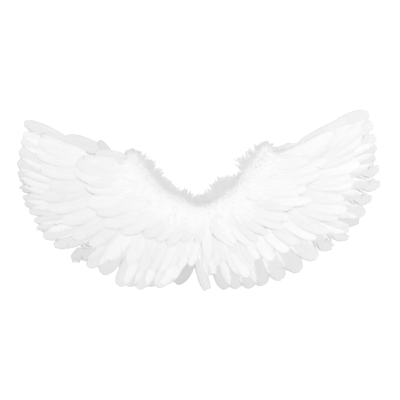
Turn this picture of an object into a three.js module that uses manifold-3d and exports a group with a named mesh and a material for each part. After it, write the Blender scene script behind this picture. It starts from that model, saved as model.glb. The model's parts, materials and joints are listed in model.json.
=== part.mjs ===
// A pair of white feather costume wings, lying flat with the feathered side up.
//
// Three rows of feathers are sewn by their quills to curved tapes on one felt panel. The long flight
// feathers make the rim, the middle row covers their quills, the short row covers the middle quills,
// and a fluffy down trim follows the V-shaped neckline over the short quills.
//
// Millimetres. +X runs along the span to the right wing, +Y to the top of the wings and +Z up through
// their thickness. The origin is on the panel's underside, at the middle of the wearer's back.
import * as THREE from "three";
import { mergeVertices } from "three/addons/utils/BufferGeometryUtils.js";
import Module from "manifold-3d";

const wasm = await Module();
wasm.setup();

// Driving dimensions
const SEAT_GAP = 0.3; // clearance between a piece and what it is sewn to
const PANEL = { thickness: 2.4, flightMargin: 12, trimMargin: 12, edgeMargin: 10 };
const PANEL_STEPS = { rim: 12, neck: 20 };
const TAPE = { width: 9, thickness: 1.6, overhang: 5, steps: 6 };
const VANE = { thickness: 0.6, camber: 0.035, shingle: 0.065, bend: 0.05, quillWidth: 2.4 };
const VARY = { sideways: 3, length: 0.04, width: 0.07, bend: 0.03 };
const TRIM = { coreShare: 0.64, halfHeight: 10, sides: 8, steps: 16, stations: 16 };
const LOCK = { radius: 10, sides: 3, rootShare: 0.8, topShare: 0.62, lengthSpread: 0.1, waver: 8, lean: 0.3 };
const END_SPLAY = { amount: 1.3, power: 9 }; // how the locks at the trim's ends turn outwards along it

const tapeBottom = PANEL.thickness + SEAT_GAP;
const quillHeight = tapeBottom + TAPE.thickness / 2;

// Sections of a feather from quill to tip. along is the share of its length, breadth the share of its
// half width, and the other columns the ridge height above the quill in each row.
const VANE_SECTIONS = [
  { along: 0.0, breadth: 0.0, flight: 0.0, tail: 0.0, edge: 0.0, middle: 0.0, short: 0.0 },
  { along: 0.34, breadth: 0.7, flight: 1.4, tail: 3.2, edge: 0.8, middle: 4.8, short: 5.4 },
  { along: 0.62, breadth: 1.0, flight: 1.7, tail: 3.7, edge: 1.6, middle: 6.0, short: 7.6 },
  { along: 0.88, breadth: 0.84, flight: 1.2, tail: 3.2, edge: 2.4, middle: 6.2, short: 8.6 },
  { along: 1.0, breadth: 0.32, flight: 0.3, tail: 2.4, edge: 2.6, middle: 5.4, short: 8.0 },
];

// Flight feathers in order from the leading edge to the middle of the back: tip position and width. bend
// is the shaft's sag as a share of its length, towards the next feather, where it isn't the usual one.
const LEFT_FLIGHT = [
  { tipX: -394, tipY: 201, width: 30, bend: -0.05 },
  { tipX: -399, tipY: 167, width: 29 },
  { tipX: -403, tipY: 150, width: 26 },
  { tipX: -407, tipY: 123, width: 28 },
  { tipX: -406, tipY: 99, width: 29 },
  { tipX: -404, tipY: 81, width: 26 },
  { tipX: -402, tipY: 64, width: 26 },
  { tipX: -396, tipY: 42, width: 26 },
  { tipX: -393, tipY: 26, width: 26 },
  { tipX: -383, tipY: 9, width: 28 },
  { tipX: -372, tipY: -11, width: 26 },
  { tipX: -369, tipY: -29, width: 26 },
  { tipX: -352, tipY: -46, width: 30 },
  { tipX: -328, tipY: -69, width: 32 },
  { tipX: -292, tipY: -95, width: 33 },
  { tipX: -255, tipY: -112, width: 32 },
  { tipX: -228, tipY: -127, width: 31 },
  { tipX: -188, tipY: -152, width: 33 },
  { tipX: -145, tipY: -163, width: 35 },
  { tipX: -97, tipY: -157, width: 33 },
  { tipX: -59, tipY: -150, width: 29 },
];
const RIGHT_FLIGHT = [
  { tipX: 366, tipY: 227, width: 30, bend: -0.04 },
  { tipX: 376, tipY: 202, width: 29 },
  { tipX: 381, tipY: 174, width: 30 },
  { tipX: 382, tipY: 152, width: 28 },
  { tipX: 380, tipY: 130, width: 28 },
  { tipX: 385, tipY: 105, width: 30 },
  { tipX: 388, tipY: 70, width: 31 },
  { tipX: 372, tipY: 37, width: 30 },
  { tipX: 359, tipY: 9, width: 30 },
  { tipX: 345, tipY: -13, width: 28 },
  { tipX: 323, tipY: -31, width: 26 },
  { tipX: 326, tipY: -48, width: 23 },
  { tipX: 288, tipY: -69, width: 31 },
  { tipX: 255, tipY: -92, width: 32 },
  { tipX: 217, tipY: -121, width: 33 },
  { tipX: 176, tipY: -141, width: 34 },
  { tipX: 138, tipY: -152, width: 33 },
  { tipX: 103, tipY: -160, width: 32 },
  { tipX: 77, tipY: -161, width: 31 },
  { tipX: 48, tipY: -163, width: 31 },
];
const TAIL_FLIGHT = [
  { tipX: 8, tipY: -164, width: 22 },
  { tipX: 22, tipY: -146, width: 19 },
];

// A smooth line through points, from the leading edge to the middle.
const line = (...points) => new THREE.SplineCurve(points.map(([x, y]) => new THREE.Vector2(x, y)));
const LEFT_FLIGHT_QUILLS = line(
  [-271, 143], [-279, 99], [-266, 51], [-231, 7], [-178, -29], [-112, -51], [-33, -55],
);
const RIGHT_FLIGHT_QUILLS = line(
  [253, 158], [262, 114], [249, 62], [220, 18], [174, -18], [114, -46], [28, -55],
);

// Sizes and settings that rows share. A flat feather has no camber, and lift raises it over its
// neighbours.
const MIDDLE_ROW = { level: "middle", count: 15, width: 38 };
const SHORT_ROW = { level: "short", count: 11, width: 40 };
const EDGE_FEATHER = { level: "edge", flat: true };
const CENTRE_FEATHER = { flat: true, lift: 1.2 };

// Each row with the line of its quills, and either its feathers or the line of their tips.
const ROWS = [
  { name: "left_flight_feathers", level: "flight", quills: LEFT_FLIGHT_QUILLS, feathers: LEFT_FLIGHT },
  { name: "right_flight_feathers", level: "flight", quills: RIGHT_FLIGHT_QUILLS, feathers: RIGHT_FLIGHT },
  { name: "tail_feathers", level: "tail", quills: line([-8, -57], [7, -56]), feathers: TAIL_FLIGHT },
  {
    ...EDGE_FEATHER,
    name: "left_edge_feather",
    quills: line([-203, 134], [-206, 127]),
    feathers: [{ tipX: -314, tipY: 169, width: 28, bend: -0.035 }],
  },
  {
    ...EDGE_FEATHER,
    name: "right_edge_feather",
    quills: line([170, 132], [174, 125]),
    feathers: [{ tipX: 291, tipY: 192, width: 27, bend: 0.01 }],
  },
  {
    ...MIDDLE_ROW,
    name: "left_middle_feathers",
    quills: line([-231, 128], [-231, 95], [-216, 59], [-187, 24], [-139, -7], [-81, -24], [-19, -31]),
    tips: line(
      [-381, 169], [-354, 110], [-345, 55], [-328, 7], [-284, -40],
      [-218, -90], [-152, -114], [-90, -108], [-33, -92],
    ),
  },
  {
    ...MIDDLE_ROW,
    name: "right_middle_feathers",
    quills: line([221, 132], [218, 104], [205, 66], [176, 29], [128, -4], [73, -24], [13, -31]),
    tips: line(
      [328, 205], [337, 161], [330, 110], [321, 55], [304, 7],
      [262, -44], [200, -79], [134, -106], [73, -103], [24, -95],
    ),
  },
  {
    ...CENTRE_FEATHER,
    name: "middle_centre_feather",
    level: "middle",
    quills: line([-6, -31], [0, -31]),
    feathers: [{ tipX: -3, tipY: -97, width: 36 }],
  },
  {
    ...SHORT_ROW,
    name: "left_short_feathers",
    quills: line([-178, 112], [-158, 81], [-134, 53], [-101, 22], [-59, 2], [-18, -9]),
    tips: line(
      [-321, 147], [-282, 121], [-264, 81], [-260, 37], [-244, 7],
      [-213, -18], [-167, -35], [-117, -53], [-73, -62], [-36, -50],
    ),
  },
  {
    ...SHORT_ROW,
    name: "right_short_feathers",
    quills: line([150, 119], [123, 79], [95, 40], [55, 9], [14, -9]),
    tips: line(
      [293, 183], [271, 139], [253, 95], [240, 55], [213, 15],
      [169, -29], [112, -55], [64, -62], [28, -52],
    ),
  },
  {
    ...CENTRE_FEATHER,
    name: "short_centre_feather",
    level: "short",
    quills: line([-5, -9], [1, -9]),
    feathers: [{ tipX: -4, tipY: -56, width: 38 }],
  },
];

// The down trim's line along the neckline, from the left shoulder to the right, and its reach.
const TRIM_STATIONS = [
  { x: -163, y: 130, reach: 36 },
  { x: -139, y: 101, reach: 38 },
  { x: -117, y: 72, reach: 42 },
  { x: -88, y: 46, reach: 41 },
  { x: -51, y: 28, reach: 39 },
  { x: -4, y: 19, reach: 40 },
  { x: 39, y: 32, reach: 48 },
  { x: 74, y: 60, reach: 51 },
  { x: 104, y: 97, reach: 44 },
  { x: 138, y: 138, reach: 42 },
];
// Locks around the trim: the angle up from the feather side, over the top and down to the neckline.
const LOCK_ANGLES = [14, 52, 92, 132, 167];

const white = (color, roughness) => new THREE.MeshStandardMaterial({ color, roughness, metalness: 0 });
const MATERIALS = {
  felt: white(0xf0efec, 0.95),
  feather: white(0xf4f3f0, 0.75),
  down: white(0xf7f6f4, 0.9),
};

// A repeatable number between -1 and 1 for a seed.
function vary(seed) {
  const scaled = Math.sin(seed * 12.9898) * 43758.5453;
  return 2 * (scaled - Math.floor(scaled)) - 1;
}

function usualBend(seed) {
  return VANE.bend + VARY.bend * vary(seed);
}

// A closed solid through rings of equal length, each listed anticlockwise as seen from the last ring.
function loft(rings) {
  const size = rings[0].length;
  const positions = rings.flat().flatMap((p) => [p.x, p.y, p.z]);
  const faces = [];
  for (let r = 0; r + 1 < rings.length; r += 1) {
    for (let i = 0; i < size; i += 1) {
      const a = r * size + i;
      const b = r * size + ((i + 1) % size);
      faces.push(a, b, b + size, a, b + size, a + size);
    }
  }
  const last = (rings.length - 1) * size;
  for (let i = 1; i + 1 < size; i += 1) {
    faces.push(0, i + 1, i, last, last + i, last + i + 1);
  }
  const geometry = new THREE.BufferGeometry();
  geometry.setAttribute("position", new THREE.Float32BufferAttribute(positions, 3));
  geometry.setIndex(faces);
  return geometry;
}

function toSolid(geometry) {
  const bare = geometry.clone();
  bare.deleteAttribute("normal");
  bare.deleteAttribute("uv");
  const merged = mergeVertices(bare, 1e-4);
  return new wasm.Manifold(
    new wasm.Mesh({
      numProp: 3,
      vertProperties: new Float32Array(merged.attributes.position.array),
      triVerts: new Uint32Array(merged.index.array),
    }),
  );
}

// Joins closed geometries into one body.
function fuse(geometries) {
  const mesh = geometries
    .map(toSolid)
    .reduce((whole, piece) => whole.add(piece))
    .getMesh();
  const geometry = new THREE.BufferGeometry();
  geometry.setAttribute("position", new THREE.Float32BufferAttribute(mesh.vertProperties, 3));
  geometry.setIndex([...mesh.triVerts]);
  geometry.computeVertexNormals();
  return geometry;
}

function piece(name, geometry, material) {
  const mesh = new THREE.Mesh(geometry, material);
  mesh.name = name;
  return mesh;
}

// One feather: a thin cambered vane on a curved shaft. side is the unit vector from the shaft towards
// the next feather, and the vane's edge on that side is raised so that it lies over that feather.
function feather({ root, tip, side, width, bend, level, flat, lift }) {
  const middle = root.clone().lerp(tip, 0.5);
  const bow = middle.clone().addScaledVector(side, 2 * bend * root.distanceTo(tip));
  const shaft = new THREE.QuadraticBezierCurve(root, bow, tip);
  const half = VANE.thickness / 2;
  const rings = VANE_SECTIONS.map((section) => {
    const centre = shaft.getPoint(section.along);
    const tangent = shaft.getTangent(section.along);
    const across = new THREE.Vector2(-tangent.y, tangent.x);
    const facing = Math.sign(across.dot(side));
    const reach = THREE.MathUtils.lerp(VANE.quillWidth / 2, width / 2, section.breadth);
    const ridge = quillHeight + section[level] + lift * Math.sign(section.along);
    const fall = flat ? 0 : VANE.camber * width * section.breadth ** 2;
    const tilt = flat ? 0 : VANE.shingle * facing * reach * Math.sqrt(section.breadth);
    const at = (u, z) => new THREE.Vector3(centre.x + across.x * u, centre.y + across.y * u, z);
    const leftEdge = ridge - fall + tilt;
    const rightEdge = ridge - fall - tilt;
    return [
      at(reach, leftEdge - half),
      at(reach, leftEdge + half),
      at(0, ridge + half),
      at(-reach, rightEdge + half),
      at(-reach, rightEdge - half),
      at(0, ridge - half),
    ];
  });
  return loft(rings);
}

// The tape that a row's quills are sewn into, along the quill line and a little past its ends.
function tape(quills) {
  const rings = [];
  for (let i = 0; i <= TAPE.steps; i += 1) {
    const t = i / TAPE.steps;
    const centre = quills.getPoint(t);
    const along = quills.getTangent(t);
    if (i === 0) centre.addScaledVector(along, -TAPE.overhang);
    if (i === TAPE.steps) centre.addScaledVector(along, TAPE.overhang);
    const across = new THREE.Vector2(-along.y, along.x).multiplyScalar(TAPE.width / 2);
    const at = (sign, z) => new THREE.Vector3(centre.x + sign * across.x, centre.y + sign * across.y, z);
    const top = tapeBottom + TAPE.thickness;
    rings.push([at(1, tapeBottom), at(1, top), at(-1, top), at(-1, tapeBottom)]);
  }
  return loft(rings);
}

// A row of feathers fused to its tape. level names the row's column of ridge heights.
function featherRow({ quills, feathers, level, flat = false, lift = 0 }) {
  const solids = feathers.map(({ tipX, tipY, width, bend = usualBend(tipX + tipY) }, i) => {
    const t = feathers.length > 1 ? i / (feathers.length - 1) : 0.5;
    const root = quills.getPoint(t);
    const tip = new THREE.Vector2(tipX, tipY);
    const shaft = tip.clone().sub(root).normalize();
    const side = new THREE.Vector2(-shaft.y, shaft.x);
    if (side.dot(quills.getTangent(t)) < 0) side.negate();
    return feather({ root, tip, side, width, bend, level, flat, lift });
  });
  return fuse([tape(quills), ...solids]);
}

// Feathers spread evenly along a tip line, with small differences in place, length and width.
function spread({ quills, tips, count, width }) {
  return Array.from({ length: count }, (_, i) => {
    const t = i / (count - 1);
    const root = quills.getPoint(t);
    const along = tips.getTangent(t);
    const tip = tips.getPoint(t).addScaledVector(along, VARY.sideways * vary(i + 0.3 * count));
    tip.sub(root).multiplyScalar(1 + VARY.length * vary(i + 0.6 * count)).add(root);
    return { tipX: tip.x, tipY: tip.y, width: width * (1 + VARY.width * vary(i + 0.9 * count)) };
  });
}

// Points of a curve moved sideways, to the right of its direction of travel.
function offsetLine(curve, margin, steps) {
  return Array.from({ length: steps + 1 }, (_, i) => {
    const along = curve.getTangent(i / steps);
    return curve.getPoint(i / steps).add(new THREE.Vector2(along.y, -along.x).multiplyScalar(margin));
  });
}

// The felt panel under all the tapes: round the flight quills, then back along the neckline.
function panel() {
  const neckline = new THREE.SplineCurve(TRIM_STATIONS.map(({ x, y }) => new THREE.Vector2(x, y)));
  const leftRim = offsetLine(LEFT_FLIGHT_QUILLS, PANEL.flightMargin, PANEL_STEPS.rim);
  const rightRim = offsetLine(RIGHT_FLIGHT_QUILLS, -PANEL.flightMargin, PANEL_STEPS.rim).reverse();
  const neck = offsetLine(neckline, -PANEL.trimMargin, PANEL_STEPS.neck).reverse();
  const lift = new THREE.Vector2(0, PANEL.edgeMargin);
  const leftCorner = leftRim[0].clone().add(lift);
  const rightCorner = rightRim.at(-1).clone().add(lift);
  const outline = new THREE.Shape([leftCorner, ...leftRim, ...rightRim, rightCorner, ...neck]);
  return new THREE.ExtrudeGeometry(outline, { depth: PANEL.thickness, bevelEnabled: false });
}

// The down trim: a soft core along the neckline with tapering locks of down all round its top.
function downTrim() {
  const height = tapeBottom + TRIM.halfHeight * Math.cos(Math.PI / TRIM.sides);
  const path = new THREE.CatmullRomCurve3(
    TRIM_STATIONS.map(({ x, y }) => new THREE.Vector3(x, y, height)),
    false,
    "catmullrom",
  );
  const reaches = new THREE.SplineCurve(TRIM_STATIONS.map(({ reach }, i) => new THREE.Vector2(i, reach)));
  const coreWidth = (t) => TRIM.coreShare * reaches.getPoint(t).y;
  const rings = Array.from({ length: TRIM.steps + 1 }, (_, i) => {
    const centre = path.getPoint(i / TRIM.steps);
    const along = path.getTangent(i / TRIM.steps);
    const across = new THREE.Vector3(-along.y, along.x, 0);
    return Array.from({ length: TRIM.sides }, (_, k) => {
      const turn = (2 * Math.PI * (k + 0.5)) / TRIM.sides;
      const point = centre.clone().addScaledVector(across, coreWidth(i / TRIM.steps) * Math.cos(turn));
      point.z += TRIM.halfHeight * Math.sin(turn);
      return point;
    });
  });
  const locks = [];
  for (let i = 0; i < TRIM.stations; i += 1) {
    const t = (i + 0.5) / TRIM.stations;
    const centre = path.getPoint(t);
    const along = path.getTangent(t);
    const featherSide = new THREE.Vector3(along.y, -along.x, 0);
    LOCK_ANGLES.forEach((angle, j) => {
      const seed = i * LOCK_ANGLES.length + j;
      const turn = THREE.MathUtils.degToRad(angle + LOCK.waver * vary(seed + 0.1));
      const direction = featherSide.clone().multiplyScalar(Math.cos(turn));
      direction.z = Math.sin(turn);
      const splay = END_SPLAY.amount * (2 * t - 1) ** END_SPLAY.power;
      const lean = LOCK.lean * vary(seed + 0.2) + splay;
      direction.addScaledVector(along, lean).normalize();
      const share = THREE.MathUtils.lerp(1, LOCK.topShare, Math.max(0, Math.sin(turn)));
      const reach = reaches.getPoint(t).y * share * (1 + LOCK.lengthSpread * vary(seed + 0.4));
      const coreReach = 1 / Math.hypot(Math.cos(turn) / coreWidth(t), Math.sin(turn) / TRIM.halfHeight);
      const start = LOCK.rootShare * coreReach;
      const lock = new THREE.ConeGeometry(LOCK.radius, reach - start, LOCK.sides);
      lock.translate(0, (reach + start) / 2, 0);
      const coneAxis = new THREE.Vector3(0, 1, 0);
      lock.applyQuaternion(new THREE.Quaternion().setFromUnitVectors(coneAxis, direction));
      lock.translate(centre.x, centre.y, centre.z);
      locks.push(lock);
    });
  }
  return fuse([loft(rings), ...locks]);
}

const wings = new THREE.Group();
wings.add(piece("felt_panel", panel(), MATERIALS.felt));
for (const row of ROWS) {
  const feathers = row.feathers ?? spread(row);
  wings.add(piece(row.name, featherRow({ ...row, feathers }), MATERIALS.feather));
}
wings.add(piece("down_trim", downTrim(), MATERIALS.down));

export default wings;
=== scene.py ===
"""A pair of white feather costume wings, lying flat on a pale floor with the feathered side up.

Three rows of feathers lie with their quills over one felt panel, and a trim of down plumes follows the
V-shaped neckline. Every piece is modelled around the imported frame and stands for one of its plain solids.

The tables hold millimetres. The tips follow the photo, and the quill lines, which the feathers hide, are
guessed. Meshes are in metres.
"""

import json
import logging
import math
from dataclasses import dataclass, field
from enum import Enum
from typing import Any, Iterable, Sequence

import bpy
import numpy as np
from bpy.types import Collection, Material, Mesh, Node, NodeOutputs, NodeSocket, NodeTree, Object
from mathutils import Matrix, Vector

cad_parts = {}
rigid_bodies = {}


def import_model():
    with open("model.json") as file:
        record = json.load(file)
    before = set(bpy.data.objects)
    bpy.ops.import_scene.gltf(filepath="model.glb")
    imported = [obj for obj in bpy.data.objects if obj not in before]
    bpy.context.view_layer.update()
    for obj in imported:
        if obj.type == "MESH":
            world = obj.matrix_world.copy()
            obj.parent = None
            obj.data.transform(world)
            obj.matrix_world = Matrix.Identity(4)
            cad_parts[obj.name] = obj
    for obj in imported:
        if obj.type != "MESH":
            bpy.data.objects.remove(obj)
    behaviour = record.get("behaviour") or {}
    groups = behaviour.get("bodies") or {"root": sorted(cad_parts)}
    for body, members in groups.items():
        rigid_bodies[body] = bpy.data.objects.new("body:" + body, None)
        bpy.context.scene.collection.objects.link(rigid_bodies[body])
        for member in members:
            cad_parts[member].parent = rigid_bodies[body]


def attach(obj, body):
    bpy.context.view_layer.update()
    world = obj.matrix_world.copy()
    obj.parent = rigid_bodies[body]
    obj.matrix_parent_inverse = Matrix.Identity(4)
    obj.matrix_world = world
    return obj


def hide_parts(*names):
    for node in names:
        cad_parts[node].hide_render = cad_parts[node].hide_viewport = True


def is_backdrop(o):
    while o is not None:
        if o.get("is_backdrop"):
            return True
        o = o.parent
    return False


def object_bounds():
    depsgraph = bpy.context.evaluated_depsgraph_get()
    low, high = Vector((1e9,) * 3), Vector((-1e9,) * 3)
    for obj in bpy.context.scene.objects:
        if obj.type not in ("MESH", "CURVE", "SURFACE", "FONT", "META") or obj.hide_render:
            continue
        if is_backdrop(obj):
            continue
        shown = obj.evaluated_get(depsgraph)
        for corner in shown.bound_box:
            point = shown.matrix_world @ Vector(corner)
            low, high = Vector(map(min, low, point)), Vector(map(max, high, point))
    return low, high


LOG = logging.getLogger("feather_wings")
MM = 0.001
BODY = "root"

# Heights in the stack of panel, tape and quill
PANEL_THICKNESS = 2.4
SEAT_GAP = 0.3
TAPE_THICKNESS = 1.6
QUILL_HEIGHT = PANEL_THICKNESS + SEAT_GAP + TAPE_THICKNESS / 2

# How a feather lies: sag of its edges, tilt over the next feather, bow of its shaft
CAMBER = 0.02
SHINGLE = 0.045
USUAL_BEND = 0.05
BEND_SPREAD = 0.03

# Factors that scatter the results of vary
SCATTER_TURN = 12.9898
SCATTER_SCALE = 43758.5453

# A direction that few barbs of down run along, which sets the way their flat sides face
DOWN_AXIS = (0.31, 0.17, 0.94)


class Level(Enum):
    """The layers of feathers, from the panel up."""

    FLIGHT = "flight"
    TAIL = "tail"
    EDGE = "edge"
    MIDDLE = "middle"
    SHORT = "short"


def vary(seed: float) -> float:
    """Returns a repeatable number between -1 and 1 for a seed."""
    scaled = math.sin(seed * SCATTER_TURN) * SCATTER_SCALE
    return 2.0 * (scaled - math.floor(scaled)) - 1.0


def unit(vectors: np.ndarray) -> np.ndarray:
    """Returns the vectors along the last axis at length one."""
    return vectors / np.maximum(np.linalg.norm(vectors, axis=-1, keepdims=True), 1e-12)


def left_of(headings: np.ndarray) -> np.ndarray:
    """Returns directions in plan, turned a quarter to the left."""
    return np.stack([-headings[..., 1], headings[..., 0]], axis=-1)


def along_bow(
    root: np.ndarray, bow: np.ndarray, tip: np.ndarray, share: np.ndarray
) -> tuple[np.ndarray, np.ndarray]:
    """Follows shafts that run from root by bow to tip.

    Args:
        root: Where the shafts start.
        bow: The points that bend them.
        tip: Where they end.
        share: How far along, from 0 to 1.

    Returns:
        The points there and the unit headings.
    """
    near = root + (bow - root) * share
    far = bow + (tip - bow) * share
    return near + (far - near) * share, unit(far - near)


class Spline:
    """A smooth line through points, in millimetres."""

    STEP = 1e-4
    LENGTH_STEPS = 400

    def __init__(self, *points: Sequence[float]) -> None:
        """Keeps the points that the line passes through."""
        self.points = np.array(points, float)

    def at(self, share: float) -> np.ndarray:
        """Returns the point at a share of the line's knots.

        Args:
            share: 0 at the first point and 1 at the last.

        Returns:
            The point, with as many coordinates as the line's own points.
        """
        last = len(self.points) - 1
        place = min(max(share, 0.0), 1.0) * last
        knot = min(int(place), last - 1)
        w = place - knot
        before, start, end, after = self.points[np.clip([knot - 1, knot, knot + 1, knot + 2], 0, last)]
        leave = (end - before) / 2
        arrive = (after - start) / 2
        cubic = 2 * start - 2 * end + leave + arrive
        square = -3 * start + 3 * end - 2 * leave - arrive
        return ((cubic * w + square) * w + leave) * w + start

    def heading(self, share: float) -> np.ndarray:
        """Returns the unit direction of travel at a share of the line's knots."""
        ahead, behind = min(share + self.STEP, 1.0), max(share - self.STEP, 0.0)
        return unit(self.at(ahead) - self.at(behind))

    def points_at(self, shares: np.ndarray) -> np.ndarray:
        """Returns the points at shares of the line's knots, one a row."""
        return np.array([self.at(t) for t in shares])

    def headings(self, shares: np.ndarray) -> np.ndarray:
        """Returns the unit directions of travel at shares of the line's knots, one a row."""
        return np.array([self.heading(t) for t in shares])

    def sample(self, count: int) -> np.ndarray:
        """Returns count points spread evenly over the line's knots."""
        return self.points_at(np.linspace(0.0, 1.0, count))

    def shares_at(self, lengths: np.ndarray) -> np.ndarray:
        """Works out where shares of the line's length fall.

        Args:
            lengths: Shares of the whole length, from 0 to 1.

        Returns:
            The same places as shares of the line's knots.
        """
        shares = np.linspace(0.0, 1.0, self.LENGTH_STEPS)
        steps = np.linalg.norm(np.diff(self.sample(self.LENGTH_STEPS), axis=0), axis=1)
        travelled = np.concatenate([[0.0], np.cumsum(steps)])
        return np.interp(lengths, travelled / travelled[-1], shares)

    def beside(self, distance: float, count: int) -> np.ndarray:
        """Returns count points of the line, moved to the right of its direction of travel."""
        left = left_of(self.headings(np.linspace(0.0, 1.0, count)))
        return self.sample(count) - distance * left


# Flight feathers from the leading edge to the middle of the back: tip x, tip y, width, and the bend of
# the shaft where it isn't the usual one
LEFT_FLIGHT = (
    (-394, 204, 33, -0.03),
    (-396, 179, 31, 0.01),
    (-399, 167, 34, 0.06),
    (-402, 146, 40, 0.12),
    (-406, 122, 38, 0.16),
    (-405, 99, 34, 0.18),
    (-400, 81, 27, 0.18),
    (-402, 64, 22, 0.15),
    (-396, 42, 22, 0.12),
    (-393, 26, 22, 0.07),
    (-383, 9, 24, 0.04),
    (-372, -11, 23),
    (-366, -28, 24),
    (-352, -46, 30),
    (-328, -66, 29),
    (-289, -97, 36),
    (-255, -112, 32),
    (-224, -128, 36),
    (-187, -155, 35, 0.08),
    (-168, -155, 33, 0.09),
    (-145, -161, 34, 0.1),
    (-121, -155, 33, 0.11),
    (-103, -157, 32, 0.12),
    (-91, -150, 27, 0.13),
    (-61, -150, 28, 0.14),
)
RIGHT_FLIGHT = (
    (367, 223, 32, -0.065),
    (376, 202, 31, 0.0),
    (381, 174, 30),
    (382, 152, 28),
    (380, 130, 28),
    (388, 105, 30),
    (391, 71, 31),
    (372, 37, 30),
    (359, 9, 30),
    (345, -13, 28),
    (323, -31, 26),
    (322, -50, 24),
    (286, -71, 34),
    (253, -94, 35),
    (215, -123, 36),
    (175, -142, 35),
    (134, -155, 37),
    (106, -161, 33),
    (79, -161, 31),
    (52, -163, 30),
)
TAIL_FLIGHT = ((11, -164, 25, -0.065), (20, -131, 26, -0.04))

LEFT_FLIGHT_QUILLS = Spline(
    (-271, 143), (-279, 99), (-266, 51), (-231, 7), (-178, -29), (-112, -51), (-33, -55)
)
RIGHT_FLIGHT_QUILLS = Spline(
    (253, 158), (262, 114), (249, 62), (220, 18), (174, -18), (114, -46), (28, -55)
)
LEFT_MIDDLE_QUILLS = Spline(
    (-231, 128), (-231, 95), (-216, 59), (-187, 24), (-139, -7), (-88, -22), (-44, -24)
)
LEFT_MIDDLE_TIPS = Spline(
    (-360, 162), (-351, 110), (-345, 55), (-328, 7), (-284, -40),
    (-218, -90), (-152, -116), (-108, -122), (-76, -120),
)
RIGHT_MIDDLE_QUILLS = Spline(
    (221, 132), (218, 104), (205, 66), (176, 29), (128, -4), (83, -20), (43, -24)
)
RIGHT_MIDDLE_TIPS = Spline(
    (328, 205), (337, 161), (330, 110), (321, 55), (304, 7),
    (262, -44), (200, -79), (134, -108), (104, -120), (78, -124),
)
CENTRE_QUILLS = Spline((-36, -22), (-18, -27), (0, -28), (18, -27), (36, -22))
CENTRE_FAN = (
    (-70, -112, 26),
    (-52, -119, 25),
    (-29, -112, 25),
    (7, -114, 24),
    (30, -112, 25),
    (50, -104, 25),
    (72, -114, 26),
)
LEFT_SHORT_QUILLS = Spline((-174, 104), (-157, 79), (-134, 53), (-101, 22), (-59, 2), (-18, -9))
LEFT_SHORT_TIPS = Spline(
    (-287, 121), (-274, 101), (-264, 75), (-260, 37), (-244, 7),
    (-213, -18), (-167, -38), (-117, -57), (-82, -64), (-48, -62),
)
RIGHT_SHORT_QUILLS = Spline((150, 119), (123, 79), (95, 40), (55, 9), (14, -9))
RIGHT_SHORT_TIPS = Spline(
    (293, 183), (271, 139), (253, 95), (240, 55), (213, 15),
    (169, -29), (112, -54), (76, -62), (44, -60),
)

# The down trim along the neckline, from the left shoulder to the right: x, y, the down's reach over the
# feathers, its reach into the neckline, and how far that part is backed by more down
TRIM_STATIONS = (
    (-155, 122, 36, 26, 14),
    (-139, 101, 38, 43, 13),
    (-117, 72, 42, 49, 13),
    (-88, 46, 41, 40, 9),
    (-51, 28, 42, 38, 9),
    (-4, 19, 47, 34, 0),
    (39, 32, 53, 63, 5),
    (74, 60, 51, 43, 4),
    (90, 79, 47, 22, 7),
    (104, 97, 44, 54, 8),
    (138, 138, 42, 34, 12),
)


class Graph:
    """Adds nodes to a tree, for geometry and for materials alike."""

    def __init__(self, tree: NodeTree) -> None:
        """Keeps the tree that the nodes go into."""
        self.tree = tree

    def add(self, kind: str, inputs: dict[Any, Any], **settings: Any) -> Node:
        """Adds one node and fills its inputs.

        Args:
            kind: The node's type name.
            inputs: A socket to link from, or a plain value, for each input's name or number.
            **settings: The node's own properties.

        Returns:
            The new node.
        """
        node = self.tree.nodes.new(kind)
        for name, value in settings.items():
            setattr(node, name, value)
        for key, value in inputs.items():
            if isinstance(value, NodeSocket):
                self.link(value, node.inputs[key])
            else:
                node.inputs[key].default_value = value
        return node

    def math(self, operation: str, a: Any, b: Any = 0.0) -> NodeSocket:
        """Returns the result of an operation on one or two numbers."""
        return self.add("ShaderNodeMath", {0: a, 1: b}, operation=operation).outputs[0]

    def plus(self, a: Any, b: Any) -> NodeSocket:
        """Returns two numbers added up."""
        return self.math("ADD", a, b)

    def minus(self, a: Any, b: Any) -> NodeSocket:
        """Returns one number less another."""
        return self.math("SUBTRACT", a, b)

    def times(self, a: Any, b: Any) -> NodeSocket:
        """Returns one number times another."""
        return self.math("MULTIPLY", a, b)

    def grey(self, brightness: Any) -> NodeSocket:
        """Returns a grey colour of a brightness."""
        return self.add("ShaderNodeCombineColor", {0: brightness, 1: brightness, 2: brightness}).outputs[0]

    def link(self, source: NodeSocket, target: NodeSocket) -> None:
        """Joins an output to an input."""
        self.tree.links.new(source, target)

    def vector(self, operation: str, a: Any, b: Any = (0.0, 0.0, 0.0)) -> NodeSocket:
        """Returns the result of an operation on one or two vectors."""
        return self.add("ShaderNodeVectorMath", {0: a, 1: b}, operation=operation).outputs[0]

    def scaled(self, a: Any, factor: Any) -> NodeSocket:
        """Returns a vector times a number."""
        return self.add("ShaderNodeVectorMath", {0: a, "Scale": factor}, operation="SCALE").outputs[0]

    def between(self, share: Any, a: Any, b: Any) -> NodeSocket:
        """Returns the point at a share of the way from vector a to vector b."""
        return self.add("ShaderNodeMix", {0: share, 4: a, 5: b}, data_type="VECTOR").outputs[1]

    def split(self, a: Any) -> NodeOutputs:
        """Returns a vector's x, y and z."""
        return self.add("ShaderNodeSeparateXYZ", {0: a}).outputs

    def joined(self, x: Any, y: Any, z: Any) -> NodeSocket:
        """Returns a vector made of three numbers."""
        return self.add("ShaderNodeCombineXYZ", {0: x, 1: y, 2: z}).outputs[0]

    def noise(self, place: Any, scale: Any, detail: float = 2.0) -> NodeSocket:
        """Returns smooth noise between 0 and 1 at a place."""
        inputs = {"Vector": place, "Scale": scale, "Detail": detail}
        return self.add("ShaderNodeTexNoise", inputs).outputs[0]


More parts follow.
